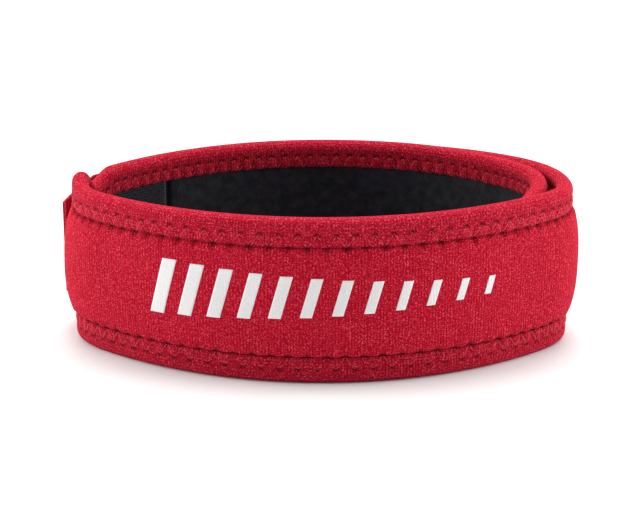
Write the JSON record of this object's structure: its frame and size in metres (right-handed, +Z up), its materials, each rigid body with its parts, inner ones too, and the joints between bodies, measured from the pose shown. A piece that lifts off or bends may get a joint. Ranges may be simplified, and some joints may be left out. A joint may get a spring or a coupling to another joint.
{
  "type": "patella strap",
  "caption": "Knee strap closed into a flattened loop: a padded knit-faced band with folded edge tape and a dark lining, lapped at the back and held shut by a hook tab.",
  "frame": {"origin": "under the middle of the loop's bounding box, on the surface that the strap stands on", "axes": "+X along the loop's long way, to the right in the picture, +Y from the front wall to the lapped back, +Z up the band's height"},
  "size_m": [0.1486, 0.0878, 0.0482],
  "materials": {
    "red_knit": "matte fine knit bonded to foam",
    "red_tape": "matte ribbed stretch tape",
    "black_lining": "matte brushed lining",
    "red_tab": "matte knit-faced hook tab",
    "black_hook": "matte moulded hook tape"
  },
  "bodies": {
    "root": {"strap_shell": "red_knit", "front_lining": "black_lining", "rear_lining": "black_lining", "top_binding": "red_tape", "bottom_binding": "red_tape", "hook_tab": "red_tab", "hook_patch": "black_hook"}
  },
  "joints": []
}
